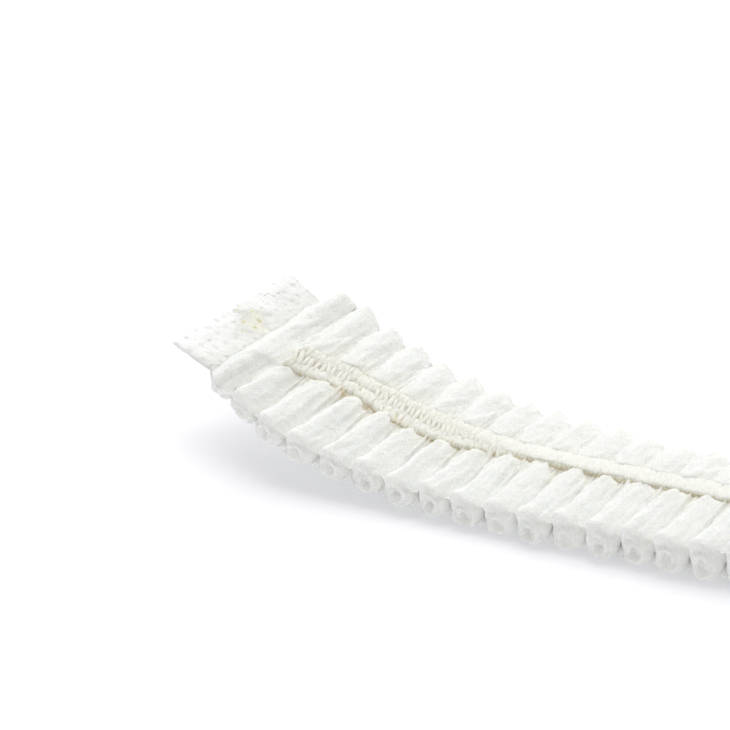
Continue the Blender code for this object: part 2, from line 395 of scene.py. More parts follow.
def curve_weights():
    """Smooth curve through the outline's rows: each ring point's share of every row."""
    count = len(OUTLINE)
    rows = []
    for start, samples in enumerate(RING_SAMPLES):
        for step in range(samples):
            t = step / samples
            weights = np.zeros(count)
            shares = (
                (start - 1, (-t + 2 * t ** 2 - t ** 3) / 2),
                (start, (2 - 5 * t ** 2 + 3 * t ** 3) / 2),
                (start + 1, (t + 4 * t ** 2 - 3 * t ** 3) / 2),
                (start + 2, (-t ** 2 + t ** 3) / 2),
            )
            for row, share in shares:
                weights[min(max(row, 0), count - 1)] += share
            rows.append(weights)
    rows.append(np.eye(count)[-1])
    return np.array(rows)


WEIGHTS = curve_weights()
SHARES = {name: WEIGHTS @ np.array([row[name] for row in OUTLINE]) for name in OUTLINE[0]}


class HalfCrown:
    """Half of the straight crown, as a grid of stations along it by points round its outline.

    sink is how far each point lies below the smooth outline, and full is 1 on a puff's back
    and 0 in the valleys. The steps draw their chance values in the order of shaped().
    """

    def __init__(self, side, dice):
        step = np.arange(STATIONS) / STATIONS
        phases = step - CROWDING * np.sin(2 * np.pi * step) / (2 * np.pi)
        self.puff = np.append(np.repeat(np.arange(PUFFS), STATIONS), PUFFS - 1)[:, None]
        self.phase = np.append(np.tile(phases, PUFFS), 1.0)[:, None]
        self.along = (self.puff + self.phase) * PITCH
        self.reach = SHARES["reach"][None, :]
        self.loose = 1.0 - fullness(self.along)
        self.side = side
        self.own = SIDES[side]
        self.dice = dice

    def uneven(self, low, high):
        """A chance value for each puff."""
        return self.dice.uniform(low, high, PUFFS)[self.puff]

    def smooth_outline(self):
        fanned = smooth_step(from_weld(self.along) / SIDES[-1]["fan_length"])
        first = blend(self.own["first_shoulder"], SPREAD_HEIGHT, fanned)
        shoulder = blend(first, self.own["shoulder"], fullness(self.along)) * self.uneven(0.96, 1.04)
        wide = half_width(self.along, self.side)
        wide = wide * (1 + (self.uneven(0.985, 1.02) - 1) * smooth_step(self.reach))
        edge = blend(HEM_EDGE, self.own["lapped_edge"], lapped(self.along))
        self.across = SHARES["inner"] * edge + SHARES["past"] + SHARES["width"] * wide
        self.height = (SHARES["bed"] * bed(self.along) + SHARES["crest"] * crest(self.along)
                       + SHARES["shoulder"] * shoulder)

    def arches(self):
        """Each puff is a pointed arch at the hem that widens towards the tip."""
        phase, reach, leaning = self.phase, self.reach, self.own["leaning"]
        lean = leaning * smooth_step((reach - 0.1) / 0.4) * smooth_step((1.5 - reach) / 0.4)
        middle = (0.5 - (0.23 + self.uneven(-0.04, 0.04)) * lean
                  + self.uneven(-0.06, 0.06) * smooth_step(1.2 - reach))
        falling = 0.5 + 0.5 * (phase - middle) / (1 - middle)
        turned = np.where(phase < middle, 0.5 * phase / middle, falling)
        bluff = np.interp(reach, BLUFF_REACH, self.own["bluff"])
        bluff = bluff * (1.0 + 0.9 * self.loose * smooth_step((1.0 - reach) / 0.7))
        self.full = np.clip(1 - np.abs(2 * turned - 1) ** 2.0, 0.0, 1.0) ** bluff
        valley = np.interp(SHARES["reach"], VALLEY_REACH, self.own["valley"])
        self.sink = valley * (1 - self.full) * self.uneven(0.85, 1.15)
        self.sink = self.sink * (1.0 + 0.35 * leaning * self.loose * bump(reach, 0.35, 0.3))

    def rolled_ends(self):
        """Rolled ply ends on the front, as an oval hollow within soft rings."""
        rolled = self.uneven(0.25, 1.0)
        from_middle = (self.phase - 0.47 - self.uneven(-0.05, 0.05)) / self.uneven(0.17, 0.22)
        up_front = (self.reach - 1.50 - self.uneven(-0.05, 0.05)) / self.uneven(0.20, 0.27)
        radius = np.hypot(from_middle, up_front)
        sweep = np.arctan2(up_front, from_middle) / (2 * np.pi)
        self.sink = self.sink + ROLL_HOLLOW * rolled * smooth_step((1.15 - radius) / 0.9)
        swirl = np.cos(2 * np.pi * (0.9 * radius + sweep + self.uneven(0.0, 1.0)))
        self.sink = self.sink - ROLL_RING * rolled * swirl * smooth_step((2.1 - radius) / 0.7)

    def beak(self):
        """The top overhangs the front as a beak, left of the puff's middle."""
        leaning = self.own["leaning"]
        tip = bump(self.reach, 0.98, 0.12) * bump(self.phase, 0.28, 0.22)
        self.sink = self.sink - BEAK * leaning * tip * self.uneven(0.4, 1.3)
        self.sink = self.sink + OVERHANG * leaning * bump(self.reach, 1.2, 0.12) * self.full

    def hood(self):
        """Where the puff runs into the hem: a small hood over a hollow."""
        phase, reach = self.phase, self.reach
        hood = self.uneven(-0.03, 0.05) + self.loose * self.uneven(0.0, 0.24)
        hood = hood + 0.36 * np.abs(2 * (phase - 0.5 - self.uneven(-0.10, 0.10))) ** 1.4
        inside = smooth_step((hood - reach) / 0.10) * smooth_step((reach + 0.12) / 0.15)
        self.inside = inside * uncovered(self.along)
        self.deep = self.uneven(0.2, 1.0) * self.own["hollow"]
        self.sink = self.sink + HOOD_HOLLOW * self.deep * self.inside
        lip = HOOD_LIP + LOOSE_LIP * self.loose
        self.sink = self.sink - lip * bump(reach, hood + 0.05, 0.045) * self.full
        fold = HOOD_FOLD * self.uneven(0.2, 1.2)
        self.sink = self.sink + fold * bump(reach, hood + 0.17, 0.035) * self.full

    def pinched_folds(self):
        """Two pinched folds between one hood and the next."""
        gather = smooth_step((0.62 - self.reach) / 0.35) * smooth_step((self.reach + 0.2) / 0.2)
        pinch = self.own["pinch"] * (1.0 + 0.3 * self.loose) * uncovered(self.along)
        for place in (self.uneven(0.02, 0.07), self.uneven(0.90, 0.96)):
            depth = pinch * self.uneven(0.2, 1.0)
            self.sink = self.sink - depth * bump(self.phase, place, 0.028) * gather

    def long_folds(self):
        """Soft folds that run down the puff from the hem."""
        fold = self.own["fold"] + self.own["loose_fold"] * self.loose
        for _ in range(LONG_FOLDS):
            place = self.uneven(0.12, 0.88) + 0.10 * np.sin(2.5 * self.reach + self.uneven(0.0, 6.0))
            begun, ended = self.uneven(-0.1, 0.4), self.uneven(0.6, self.own["fold_end"])
            run = smooth_step((self.reach - begun) / 0.2) * smooth_step((ended - self.reach) / 0.25)
            self.sink = self.sink + fold * self.uneven(-1.0, 1.0) * bump(self.phase, place, 0.05) * run

    def sunk(self):
        """Move each point inwards by its sink, along the outline's normal."""
        rise, run = np.gradient(self.height, axis=1), np.gradient(self.across, axis=1)
        size = np.hypot(rise, run)
        self.across = self.across + rise / size * self.sink
        self.height = np.maximum(self.height - run / size * self.sink, 0.0)

    def squeezed(self):
        """Press the plies together at the welds."""
        opened = smooth_step(from_weld(self.along) / (OPENING_SHARE * PITCH))
        self.across = self.across * blend(TAB_WIDTH / SPREAD_WIDTH / FAN_START, 1.0, opened)
        thin = blend(SQUEEZE * TAB_THICKNESS / SPREAD_HEIGHT, 1.0, opened)
        self.height = blend(TAB_HEIGHT, self.height, thin)

    def ochre_and_shade(self):
        """Ochre beside and under the hems, partly the amber elastic showing through and partly painted
        shade; painted shade in the hollows and, faintly, in the valleys.
        """
        by_hem = smooth_step((0.45 - self.reach) / 0.5)
        # Painted shade: darker where the arch sinks into a valley and inside the hoods' hollows.
        tint = (0.12 + 0.22 * (1 - self.full) + 0.2 * self.inside * self.deep) * by_hem
        tint = tint + 0.6 * smooth_step(-0.1 - self.reach)
        tint = tint + self.own["edge_ochre_and_shade"] * bump(self.reach, -0.02, 0.08)
        return np.clip(tint * uncovered(self.along) + 0.04 * (1 - self.full), 0, 1)

    def shaped(self):
        """Flat places of the half's points, their ochre and painted shade, and their distance round the
        outline.
        """
        self.smooth_outline()
        self.arches()
        self.rolled_ends()
        self.beak()
        self.hood()
        self.pinched_folds()
        self.long_folds()
        self.sunk()
        self.squeezed()
        shift = -TIP_LEAN * self.own["leaning"] * PITCH * self.full * bump(self.reach, 1.02, 0.3)
        shift = shift * np.minimum(1.0, from_weld(self.along) / PITCH)
        middle = wander(self.along) * smooth_step(1.0 - self.reach)
        along = self.along + shift + 0 * self.across
        flat = np.stack([along, self.side * self.across + middle, self.height], axis=2)
        steps = np.hypot(np.diff(self.across, axis=1, prepend=self.across[:, :1]),
                         np.diff(self.height, axis=1, prepend=self.height[:, :1]))
        return flat, self.ochre_and_shade() + 0 * self.across, np.cumsum(steps, axis=1)


def whole_ring(near, far):
    """From the middle of the base up the near half, over the top and down the far half."""
    return np.concatenate([near[:, ::-1][:, :-1], far[:, :-1]], axis=1)


def tube_faces(stations, ring):
    """Faces of a row of equal rings, closed at both ends."""
    station = np.arange(stations - 1)[:, None] * ring
    here, after = np.arange(ring)[None, :], (np.arange(ring)[None, :] + 1) % ring
    beyond = station + ring
    quads = np.stack([station + here, station + after, beyond + after, beyond + here], axis=2)
    faces = quads.reshape(-1, 4).tolist()
    faces.append(list(range(ring))[::-1])
    faces.append(list(range((stations - 1) * ring, stations * ring)))
    return faces


def store_cloth(mesh, cloth):
    """Keep each point's place on the flat sheet as the UV map ply, and smooth the mesh."""
    corner = np.empty(len(mesh.loops), dtype=int)
    mesh.loops.foreach_get("vertex_index", corner)
    mesh.uv_layers.new(name="ply").data.foreach_set("uv", cloth[corner].ravel())
    mesh.shade_smooth()


def crown_mesh():
    """The whole crown, straight, as one closed mesh with its ply UVs and its ochre and painted shade."""
    dice = np.random.default_rng(CROWN_SEED)
    near, near_tint_and_shade, near_girth = HalfCrown(-1, dice).shaped()
    far, far_tint_and_shade, far_girth = HalfCrown(1, dice).shaped()
    flat = whole_ring(near, far)
    tint = whole_ring(near_tint_and_shade, far_tint_and_shade)
    girth = whole_ring(-near_girth, far_girth)
    stations, ring = tint.shape
    mesh = bpy.data.meshes.new("gathered_crown_plies")
    mesh.from_pydata(flat.reshape(-1, 3).tolist(), [], tube_faces(stations, ring))
    mesh.attributes.new("tint", "FLOAT", "POINT").data.foreach_set("value", tint.ravel())
    cloth_along = np.repeat(flat[:, 0, 0] * SHEET[0] / LENGTH, ring)
    store_cloth(mesh, np.stack([cloth_along, girth.ravel()], axis=1))
    return mesh


def new_piece(name, mesh):
    piece = bpy.data.objects.new(name, mesh)
    bpy.context.scene.collection.objects.link(piece)
    return piece


def grow(piece, name, sockets, make_nodes, finish):
    """Give a piece a Geometry Nodes modifier with named inputs, and apply it."""
    tree = bpy.data.node_groups.new(name, "GeometryNodeTree")
    tree.is_modifier = True
    tree.interface.new_socket("Geometry", in_out="INPUT", socket_type="NodeSocketGeometry")
    tree.interface.new_socket("Geometry", in_out="OUTPUT", socket_type="NodeSocketGeometry")
    kinds = {float: "NodeSocketFloat", int: "NodeSocketInt"}
    keys = {"Finish": tree.interface.new_socket("Finish", in_out="INPUT", socket_type="NodeSocketMaterial")}
    for label, value in sockets.items():
        keys[label] = tree.interface.new_socket(label, in_out="INPUT", socket_type=kinds[type(value)])
    wire = Wire(tree)
    entry = wire.node("NodeGroupInput")
    shape = make_nodes(wire, entry)
    whole = wire.node("GeometryNodeRealizeInstances", None, {"Geometry": shape})
    dressed = wire.node("GeometryNodeSetMaterial", None, {
        "Geometry": whole, "Material": entry.other("Finish")})
    wire.node("NodeGroupOutput", None, {"Geometry": dressed})
    modifier = piece.modifiers.new(name, "NODES")
    modifier.node_group = tree
    modifier[keys["Finish"].identifier] = finish
    for label, value in sockets.items():
        modifier[keys[label].identifier] = value
    return applied(piece)


def ridges(noise, sharpness):
    """Sharp ridges of height 1 where a noise passes its middle, over a floor at -1."""
    return (1.0 - abs(noise * 2.0 - 1.0) * sharpness).at_least(-1.0)


def crumple(wire, entry):
    """Small soft creases all over, longer across the strip than along it."""
    where = wire.node("GeometryNodeInputPosition")
    drawn = wire.node("ShaderNodeVectorMath", {"operation": "MULTIPLY"}, {0: where, 1: (1.0, 0.4, 0.7)})
    push = None
    for kind, detail in (("Crease", 1.0), ("Wrinkle", 2.0)):
        scale = wire.maths("DIVIDE", 1.0, entry.other(kind + " Size"))
        noise = wire.node("ShaderNodeTexNoise", None, {
            "Vector": drawn, "Scale": scale, "Detail": detail, "Roughness": 0.6, "Distortion": 0.6})
        lift = ridges(noise, 3.0) * entry.other(kind + " Depth")
        push = lift if push is None else push + lift
    normal = wire.node("GeometryNodeInputNormal")
    move = wire.node("ShaderNodeVectorMath", {"operation": "SCALE"}, {0: normal, "Scale": push})
    return wire.node("GeometryNodeSetPosition", None, {"Geometry": entry.other("Geometry"), "Offset": move})


STRANDS = ((0.5, 2600.0), (-0.9, 2300.0), (1.7, 2900.0))    # turn, and fibres to the metre
STRAND_LENGTH = 9                       # fibres are so many times longer than wide
BOND_TURN, BOND_CELLS = 0.785, 1250.0   # bond points to the metre
PAINTED_GLOW = 0.15                    # painted light: cloth glow that stands in for light through the plies


def cloth_settings(scatter, scatter_length, sheen):
    return {
        "Emission Strength": PAINTED_GLOW,
        "Subsurface Weight": scatter,
        "Subsurface Radius": (1.0, 0.95, 0.85),
        "Subsurface Scale": scatter_length,
        "Specular IOR Level": sheen,
    }


def nonwoven_finish(name, colour, ochre_and_shade, depth, settings):
    """White spunbond: cloudy fibres, a close pattern of bond points and fine crinkles; its colour, ramped
    from the tint attribute, carries painted shade as well as the cloth's own ochre and stain.
    """
    material, shader, wire = new_finish(name, settings)
    uv = wire.node("ShaderNodeUVMap", {"uv_map": "ply"})
    place = wire.node("ShaderNodeTexCoord", None, None, output="Object")
    cloud = wire.node("ShaderNodeTexNoise", None, {"Vector": place, "Scale": 1300.0, "Detail": 4.0})
    fibres = None
    for turn, size in STRANDS:
        drawn = wire.node("ShaderNodeMapping", None, {
            "Vector": uv, "Rotation": (0.0, 0.0, turn), "Scale": (size, size / STRAND_LENGTH, 1.0)})
        strand = wire.node("ShaderNodeTexNoise", None, {"Vector": drawn, "Scale": 1.0, "Detail": 2.0})
        fibres = strand if fibres is None else fibres.at_least(strand)
    cells = wire.node("ShaderNodeMapping", None, {
        "Vector": uv, "Rotation": (0.0, 0.0, BOND_TURN), "Scale": (BOND_CELLS, BOND_CELLS, 1.0)})
    bonds = wire.node("ShaderNodeTexVoronoi", {"distance": "EUCLIDEAN"}, {
        "Vector": cells, "Scale": 1.0, "Randomness": 0.15})
    bond = (1.0 - bonds * 3.2).at_least(0.0).at_most(1.0)
    crinkle = wire.node("ShaderNodeTexNoise", None, {
        "Vector": place, "Scale": 1500.0, "Detail": 4.0, "Distortion": 1.0})
    relief = fibres * 0.5 + cloud * 1.3 + abs(crinkle * 2.0 - 1.0) * 0.8 - bond * 0.4
    # The ramped colour is partly the cloth's own ochre and stain and partly painted shade.
    tint = wire.node("ShaderNodeAttribute", {"attribute_name": "tint"}, None, output="Fac")
    tint_and_shade_mottled = (tint + (cloud - 0.5) * 0.10 * tint).at_least(0.0)
    tone_and_shade = wire.node("ShaderNodeValToRGB", {"stops": ochre_and_shade}, {"Fac": tint_and_shade_mottled})
    clouded = wire.node("ShaderNodeMix", {"data_type": "RGBA", "blend_type": "MULTIPLY"},
                        {0: cloud * 0.16, 6: tone_and_shade, 7: colour}, output=2)
    wire.feed(shader.inputs["Base Color"], clouded)
    # Painted light: the cloth glows in its own colour, painted shade included.
    wire.feed(shader.inputs["Emission Color"], clouded)
    wire.feed(shader.inputs["Roughness"], 0.66 - bond * 0.22)
    dented = wire.node("ShaderNodeBump", None, {"Height": relief, "Strength": 0.8, "Distance": depth})
    wire.feed(shader.inputs["Normal"], dented)
    return material


# White to ochre on the crown: the ochre end is partly the elastic showing through and partly painted shade
# in the valleys, hollows and beside the hems.
WHITE_TO_OCHRE = (
    (0.0, (0.80, 0.81, 0.79, 1.0)),
    (0.30, (0.80, 0.79, 0.725, 1.0)),
    (0.60, (0.77, 0.72, 0.60, 1.0)),
    (1.0, (0.66, 0.56, 0.35, 1.0)),
)
nonwoven = nonwoven_finish("white nonwoven", (0.86, 0.87, 0.85, 1.0), WHITE_TO_OCHRE, 0.00028,
                           cloth_settings(0.85, 0.0016, 0.35))
crown = new_piece("gathered_crown_plies", crown_mesh())
grow(crown, "crumple", {
    "Crease Size": 0.0024,
    "Crease Depth": 0.00018,
    "Wrinkle Size": 0.0007,
    "Wrinkle Depth": 0.00007,
}, crumple, nonwoven)
lay_down(crown)
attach(crown, "root")
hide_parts("gathered_crown")


# The two elastic hems.
# Each long edge of the sheet is turned over a stretched elastic thread, which draws the
# casing into fine cross pleats once it is let go. Beside a weld the two hems lie apart,
# and further along the far one laps over the near one.

# A row for each hem: its middle and width beside a weld and where the hems lap, whether it
# climbs over the other, and its ochre where they lap: on the near hem, beneath the far one,
# partly the elastic showing through and partly painted shade.
HEMS = {
    "near": {"across": -0.0016, "width": 0.0022, "lapped_across": -0.0001, "lapped_width": 0.0014,
             "climb": 0, "tone_and_shade": 0.55},
    "far": {"across": 0.0016, "width": 0.0023, "lapped_across": 0.0010, "lapped_width": 0.0036,
            "climb": 1, "tone_and_shade": 0.10},
}
HEM_CLEARANCE = 0.0001                  # above their seat
HEM_THICKNESS, HEM_RISE = 0.0007, 0.0003
HEM_START = 1.3 * PITCH                 # the hems come out from under the first puff
HEM_TURN = 0.006                        # of the flat sheet that each hem takes
TOUCH = 0.0150                          # from a weld to where the hems touch
TOUCH_CLOSING, TOUCH_LENGTH = 0.36, 0.0022
HEM_CELL, HEM_RING = 0.00009, 18
HEM_ROUNDNESS = 0.8                     # 1 is an oval section, and less is boxier
SWELL_CELLS, SWELL = 40, 0.9            # the width wanders over so many cells
SLACK_TINT = 0.40                       # beside a weld


def hem_path(hem, along):
    """Across, width, height and bank of a hem's middle, at distances along the strip."""
    share = lapped(along)
    apart = 1.0 - TOUCH_CLOSING * bump(from_weld(along), TOUCH, TOUCH_LENGTH)
    across = blend(hem["across"] * apart, hem["lapped_across"], share) + wander(along)
    width = blend(hem["width"], hem["lapped_width"], share)
    lift = hem["climb"] * HEM_RISE * share
    return across, width, bed(along) + HEM_CLEARANCE + lift / 2, -np.arctan2(lift, width)


# Cream to ochre on the hems: the ochre end is partly the elastic showing through and partly painted shade on
# the near flanks, between the gathers and on the near hem beneath the far one.
CREAM_TO_OCHRE = (
    (0.0, (0.795, 0.795, 0.76, 1.0)),
    (0.5, (0.75, 0.74, 0.65, 1.0)),
    (1.0, (0.64, 0.58, 0.40, 1.0)),
)
casing = nonwoven_finish("cream elastic casing", (0.88, 0.88, 0.85, 1.0), CREAM_TO_OCHRE, 0.00020,
                         cloth_settings(0.7, 0.0008, 0.3))


def band_mesh(name, hem, seed):
    """A hem as a plain rounded band, straight, closed at both ends."""
    dice = np.random.default_rng(seed)
    along = np.arange(HEM_START, LENGTH - HEM_START, HEM_CELL)
    across, width, height, bank = hem_path(hem, along)
    swell = np.convolve(dice.uniform(-1, 1, len(along)), np.ones(SWELL_CELLS) / SWELL_CELLS, "same")
    width = width * (1 + SWELL * swell)
    turn = np.linspace(0, 2 * np.pi, HEM_RING, endpoint=False)
    side = np.sign(np.cos(turn)) * np.abs(np.cos(turn)) ** HEM_ROUNDNESS / 2
    rise = (np.sign(np.sin(turn)) * np.abs(np.sin(turn)) ** HEM_ROUNDNESS + 1) / 2 * HEM_THICKNESS
    over = width[:, None] * side * np.cos(bank)[:, None] - rise * np.sin(bank)[:, None]
    up = width[:, None] * side * np.sin(bank)[:, None] + rise * np.cos(bank)[:, None]
    flat = np.stack([along[:, None] + 0 * over, across[:, None] + over, height[:, None] + up], axis=2)
    mesh = bpy.data.meshes.new(name)
    mesh.from_pydata(flat.reshape(-1, 3).tolist(), [], tube_faces(len(along), HEM_RING))
    # More ochre beside a weld, the lapped ochre further on, and painted shade down each band's near flank.
    tone_and_shade = blend(SLACK_TINT, hem["tone_and_shade"], lapped(along))[:, None] + 0.5 * smooth_step(-2.0 * side - 0.5)
    mesh.attributes.new("tint", "FLOAT", "POINT").data.foreach_set("value", tone_and_shade.ravel())
    slack = 1.0 - np.repeat(lapped(along), HEM_RING)
    mesh.attributes.new("slack", "FLOAT", "POINT").data.foreach_set("value", slack)
    cloth_along, girth = along[:, None] * SHEET[0] / LENGTH, turn / (2 * np.pi) * HEM_TURN
    cloth = np.stack([cloth_along + 0 * over, girth + 0 * over], axis=2)
    store_cloth(mesh, cloth.reshape(-1, 2))
    return mesh


def gathers(wire, entry):
    """Fine slanting gathers across a band, uneven in size and spacing, with painted shade in the hollows
    between them.
    """
    where = wire.node("GeometryNodeInputPosition")
    part = wire.node("ShaderNodeSeparateXYZ", None, {"Vector": where})
    slanted = part + part.other("Y") * entry.other("Slant")
    spacing = wire.maths("DIVIDE", 1.0, entry.other("Gather Spacing"))
    drawn = wire.node("ShaderNodeCombineXYZ", None, {
        "X": slanted * spacing, "Y": part.other("Y") * spacing * 0.16, "Z": entry.other("Seed") * 3.7})
    noise = wire.node("ShaderNodeTexNoise", None, {
        "Vector": drawn, "Scale": 1.0, "Detail": 2.5, "Roughness": 0.65, "Distortion": 0.5})
    ridge = ridges(noise, 5.0)
    normal = wire.node("GeometryNodeInputNormal")
    slack = wire.node("GeometryNodeInputNamedAttribute", {"data_type": "FLOAT"}, {"Name": "slack"})
    push = ridge * entry.other("Gather Depth") * (slack * 0.4 + 0.9)
    move = wire.node("ShaderNodeVectorMath", {"operation": "SCALE"}, {0: normal, "Scale": push})
    shaped = wire.node("GeometryNodeSetPosition", None, {
        "Geometry": entry.other("Geometry"), "Offset": move})
    tone_and_shade = wire.node("GeometryNodeInputNamedAttribute", {"data_type": "FLOAT"}, {"Name": "tint"})
    # Painted shade: the ochre is lifted off the gathers' ridges, so the hollows between them read darker.
    tint = (tone_and_shade - ridge * (slack * 0.2 + 0.2)).at_least(0.0).at_most(1.0)
    return wire.node("GeometryNodeStoreNamedAttribute", {"data_type": "FLOAT", "domain": "POINT"}, {
        "Geometry": shaped, "Name": "tint", "Value": tint})


def gathered_hem(name, node, hem, seed):
    piece = new_piece(name, band_mesh(name, hem, seed))
    grow(piece, name + "_gathers", {
        "Gather Spacing": 0.00038,
        "Gather Depth": 0.00013,
        "Slant": 0.30,
        "Seed": seed,
    }, gathers, casing)
    lay_down(piece)
    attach(piece, "root")
    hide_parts(node)


gathered_hem("near_hem_casing", "near_hem", HEMS["near"], 11)
gathered_hem("far_hem_casing", "far_hem", HEMS["far"], 12)


# The ladder of bridging folds.
# Between the two hems, beside each weld, the sheet shows as thin folds that the elastic
# has drawn tight across the gap, with the shaded plies behind them.

RUNG_SPACING = 0.00070
RUNG_LENGTH = 0.0022
RUNG_BASE = 0.0003                      # above the hems' seat
RUNG_TINT = 0.35
LADDER_END = LAP_START + 0.7 * LAP_LENGTH   # from a weld
UNEVEN_SPACING, UNEVEN_ACROSS = 0.2, 0.0001
CLOSED_REACH = 0.0018                   # no folds this close to where the hems touch
LADDER_SEED = 21


def pleats(wire, entry):
    """A small arched fold on every point, tapered at both ends and set a little askew."""
    arch = wire.node("GeometryNodeCurveQuadraticBezier", None, {
        "Resolution": 6, "Start": (0.0, -0.5, 0.0), "Middle": (0.0, 0.0, 2.0), "End": (0.0, 0.5, 0.0)})
    through = wire.node("GeometryNodeSplineParameter")
    taper = (through * (1.0 - through) * 4.0) ** 0.5 * 0.75 + 0.25
    tapered = wire.node("GeometryNodeSetCurveRadius", None, {"Curve": arch, "Radius": taper})
    ring = wire.node("GeometryNodeCurvePrimitiveCircle", None, {"Resolution": 6, "Radius": 0.5})
    fold = wire.node("GeometryNodeCurveToMesh", None, {
        "Curve": tapered, "Profile Curve": ring, "Fill Caps": True})
    smooth = wire.node("GeometryNodeSetShadeSmooth", None, {"Geometry": fold})
    askew = entry.other("Askew")
    twist = wire.node("FunctionNodeRandomValue", {"data_type": "FLOAT"}, {
        2: askew * -1.0, 3: askew, "Seed": entry.other("Seed")}, output=1)
    turn = wire.node("ShaderNodeCombineXYZ", None, {"Z": twist + entry.other("Slant")})
    size = wire.node("FunctionNodeRandomValue", {"data_type": "FLOAT"}, {
        2: 0.78, 3: 1.15, "Seed": entry.other("Seed") + 1}, output=1)
    thick = wire.node("FunctionNodeRandomValue", {"data_type": "FLOAT"}, {
        2: 0.75, 3: 1.30, "Seed": entry.other("Seed") + 2}, output=1)
    scale = wire.node("ShaderNodeCombineXYZ", None, {
        "X": thick * entry.other("Fold Thickness"), "Y": size * entry.other("Fold Length"),
        "Z": size * entry.other("Fold Height")})
    return wire.node("GeometryNodeInstanceOnPoints", None, {
        "Points": entry.other("Geometry"), "Instance": smooth, "Rotation": turn, "Scale": scale})


def ladder():
    dice = np.random.default_rng(LADDER_SEED)
    run = np.arange(HEM_START, LADDER_END, RUNG_SPACING)
    along = np.concatenate([run, LENGTH - run[::-1]])
    along = along[np.abs(from_weld(along) - TOUCH) > CLOSED_REACH]
    along = along + dice.uniform(-UNEVEN_SPACING, UNEVEN_SPACING, len(along)) * RUNG_SPACING
    across = wander(along) + dice.uniform(-UNEVEN_ACROSS, UNEVEN_ACROSS, len(along))
    mesh = bpy.data.meshes.new("ladder_folds")
    mesh.from_pydata(np.stack([along, across, bed(along) + RUNG_BASE], axis=1).tolist(), [], [])
    mesh.attributes.new("tint", "FLOAT", "POINT").data.foreach_set("value", RUNG_TINT + 0 * along)
    piece = new_piece("ladder_folds", mesh)
    grow(piece, "ladder_pleats", {
        "Fold Length": RUNG_LENGTH,
        "Fold Height": 0.00050,
        "Fold Thickness": 0.00062,
        "Slant": 0.30,
        "Askew": 0.24,
        "Seed": LADDER_SEED,
    }, pleats, casing)
    lay_down(piece)
    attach(piece, "root")


ladder()


# The weld tabs.
# At both ends all plies are pressed flat and joined by ultrasonic spot welds, which leave
# rows of small sunken dots, and the strip is cut off through the outermost row.

TAB_LENGTH = 0.0050
TAB_LAP = 0.0009                        # of the tab under the first puff
PRESSED_THICKNESS = 0.0008              # of the plies that show, less than the tab's solid
TAB_CELL = 0.00013
DOT_SPACING = (0.00165, 0.00170)        # along and across
TAB_DOTS = (4, 14)
DOT_JITTER = 0.00032
RUMPLE_DEPTH, FINE_DEPTH = 0.0006, 0.00002
PER_HALF_LENGTH, PER_HALF_WIDTH = 330.0, 90.0   # metres to about half a tab's length and width
RIM_SQUEEZE = (0.10, 0.55, 0.80, 0.93, 1.0)   # thickness from the rim inwards, as a share


def slab(name, start, length, width, base, thickness):
    """A closed thin plate of small cells, straight, with its ply UVs."""
    columns, rows = int(round(length / TAB_CELL)) + 1, int(round(width / TAB_CELL)) + 1
    shape = bmesh.new()
    layer = shape.loops.layers.uv.new("ply")
    levels = []
    for side in (-1, 1):
        level = []
        for column in range(columns):
            from_end = min(column, columns - 1 - column)
            level.append([shape.verts.new((
                start + length * column / (columns - 1), width * (row / (rows - 1) - 0.5),
                base + thickness / 2 * (1 + side * RIM_SQUEEZE[min(from_end, row, rows - 1 - row, 4)])))
                for row in range(rows)])
        levels.append(level)
    under, over = levels
    for column in range(columns - 1):
        for row in range(rows - 1):
            shape.faces.new((over[column][row], over[column + 1][row],
                             over[column + 1][row + 1], over[column][row + 1]))
            shape.faces.new((under[column][row], under[column][row + 1],
                             under[column + 1][row + 1], under[column + 1][row]))
    rim = [(column, 0) for column in range(columns)]
    rim += [(columns - 1, row) for row in range(1, rows)]
    rim += [(column, rows - 1) for column in reversed(range(columns - 1))]
    rim += [(0, row) for row in reversed(range(1, rows - 1))]
    for here, after in zip(rim, rim[1:] + rim[:1]):
        shape.faces.new((under[here[0]][here[1]], under[after[0]][after[1]],
                         over[after[0]][after[1]], over[here[0]][here[1]]))
    for face in shape.faces:
        face.smooth = True
        for loop in face.loops:
            loop[layer].uv = loop.vert.co.xy
    mesh = bpy.data.meshes.new(name)
    shape.to_mesh(mesh)
    shape.free()
    return new_piece(name, mesh)


